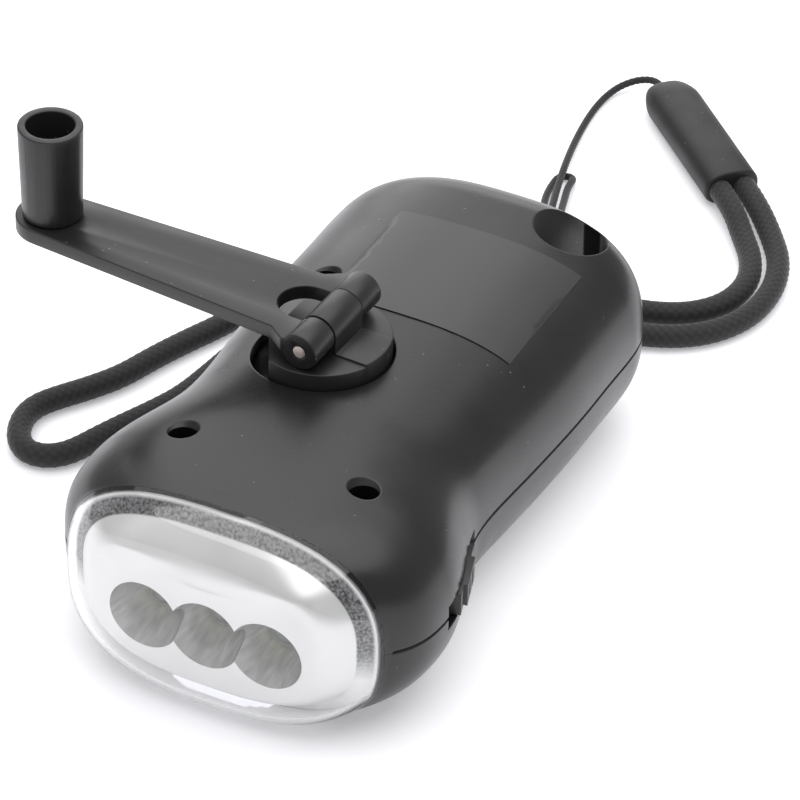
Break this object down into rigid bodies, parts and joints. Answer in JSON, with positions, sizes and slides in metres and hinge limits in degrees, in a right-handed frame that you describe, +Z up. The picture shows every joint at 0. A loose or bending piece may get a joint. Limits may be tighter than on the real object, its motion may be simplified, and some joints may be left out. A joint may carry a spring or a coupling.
{
  "type": "hand crank flashlight",
  "caption": "Hand crank flashlight: two-part waisted case, clear lens dome over lamps, folding crank with a turning knob and gear train, slide switch, wrist strap",
  "frame": {"origin": "on the table, under the middle of the case, on the flat that the case rests on", "axes": "+X towards the switch side, +Y from the lens to the strap end, +Z up through the crank"},
  "size_m": [0.0956, 0.1879, 0.0582],
  "materials": {
    "case_plastic": "satin black moulded plastic with fine dust",
    "crank_plastic": "satin black moulded plastic",
    "lens_plastic": "clear polished plastic dome",
    "reflector_silver": "bright metallised plastic",
    "lamp_resin": "clear resin with a yellowish chip",
    "board_green": "circuit board with green mask",
    "steel": "plain steel",
    "gear_nylon": "natural nylon",
    "magnet": "sintered magnet",
    "coil_copper": "enamelled copper winding",
    "switch_plastic": "black moulded plastic",
    "cell_steel": "nickel plated cell can",
    "sleeve_green": "shrink sleeve",
    "diode_black": "moulded diode bodies",
    "label_film": "plain dark printed film, left blank",
    "cord_braid": "black braided cord",
    "cap_plastic": "satin black moulded plastic"
  },
  "bodies": {
    "case": {"upper_shell": "case_plastic", "lower_shell": "case_plastic", "lens_cover": "lens_plastic", "reflector": "reflector_silver", "led_left": "lamp_resin", "led_middle": "lamp_resin", "led_right": "lamp_resin", "led_board": "board_green", "axle_one": "steel", "axle_two": "steel", "stator_coil": "coil_copper", "gearbox_plate": "gear_nylon", "case_screws": "steel", "switch_box": "switch_plastic", "battery_cell_1": "cell_steel", "battery_cell_2": "cell_steel", "battery_cell_3": "cell_steel", "battery_sleeve": "sleeve_green", "circuit_board": "board_green", "diodes": "diode_black", "label": "label_film", "strap_bar": "case_plastic", "thin_cord": "cord_braid", "cord_hitch": "cord_braid", "wrist_cord": "cord_braid", "strap_cap": "cap_plastic"},
    "crank": {"crank_hub": "crank_plastic", "drive_gear": "gear_nylon", "hub_screw": "steel"},
    "arm": {"crank_arm": "crank_plastic", "hinge_pin": "steel", "knob_stud": "steel"},
    "knob": {"crank_knob": "crank_plastic"},
    "slider": {"switch_slider": "switch_plastic"},
    "step_one": {"step_gear_one": "gear_nylon"},
    "step_two": {"step_gear_two": "gear_nylon"},
    "rotor": {"rotor_pinion": "gear_nylon", "rotor_magnet": "magnet", "rotor_shaft": "steel"}
  },
  "joints": [
    {"name": "crank_spin", "type": "hinge", "parent": "case", "child": "crank", "pos_m": [-0.00565, -0.0077, 0.037], "axis": [0, 0, 1], "continuous": true},
    {"name": "arm_fold", "type": "hinge", "parent": "crank", "child": "arm", "pos_m": [-0.00415, -0.00778, 0.04025], "axis": [0.0523, 0.9986, 0], "range_deg": [0, 164]},
    {"name": "knob_spin", "type": "hinge", "parent": "arm", "child": "knob", "pos_m": [-0.05428, -0.00515, 0.05], "axis": [0, 0, 1], "continuous": true},
    {"name": "switch_slide", "type": "slide", "parent": "case", "child": "slider", "axis": [-0.2501, 0.9682, 0], "range_m": [-0.0032, 0.0032]},
    {"name": "step_one_spin", "type": "hinge", "parent": "case", "child": "step_one", "pos_m": [0.01149, -0.00468, 0.022], "axis": [0, 0, 1], "continuous": true},
    {"name": "step_two_spin", "type": "hinge", "parent": "case", "child": "step_two", "pos_m": [0.0093, -0.01709, 0.02], "axis": [0, 0, 1], "continuous": true},
    {"name": "rotor_spin", "type": "hinge", "parent": "case", "child": "rotor", "pos_m": [-0.00252, -0.01917, 0.018], "axis": [0, 0, 1], "continuous": true}
  ],
  "couplings": [
    {"joint": "step_one_spin", "follows": "crank_spin", "ratio": -4.8},
    {"joint": "step_two_spin", "follows": "crank_spin", "ratio": 15.36},
    {"joint": "rotor_spin", "follows": "crank_spin", "ratio": -46.08}
  ]
}
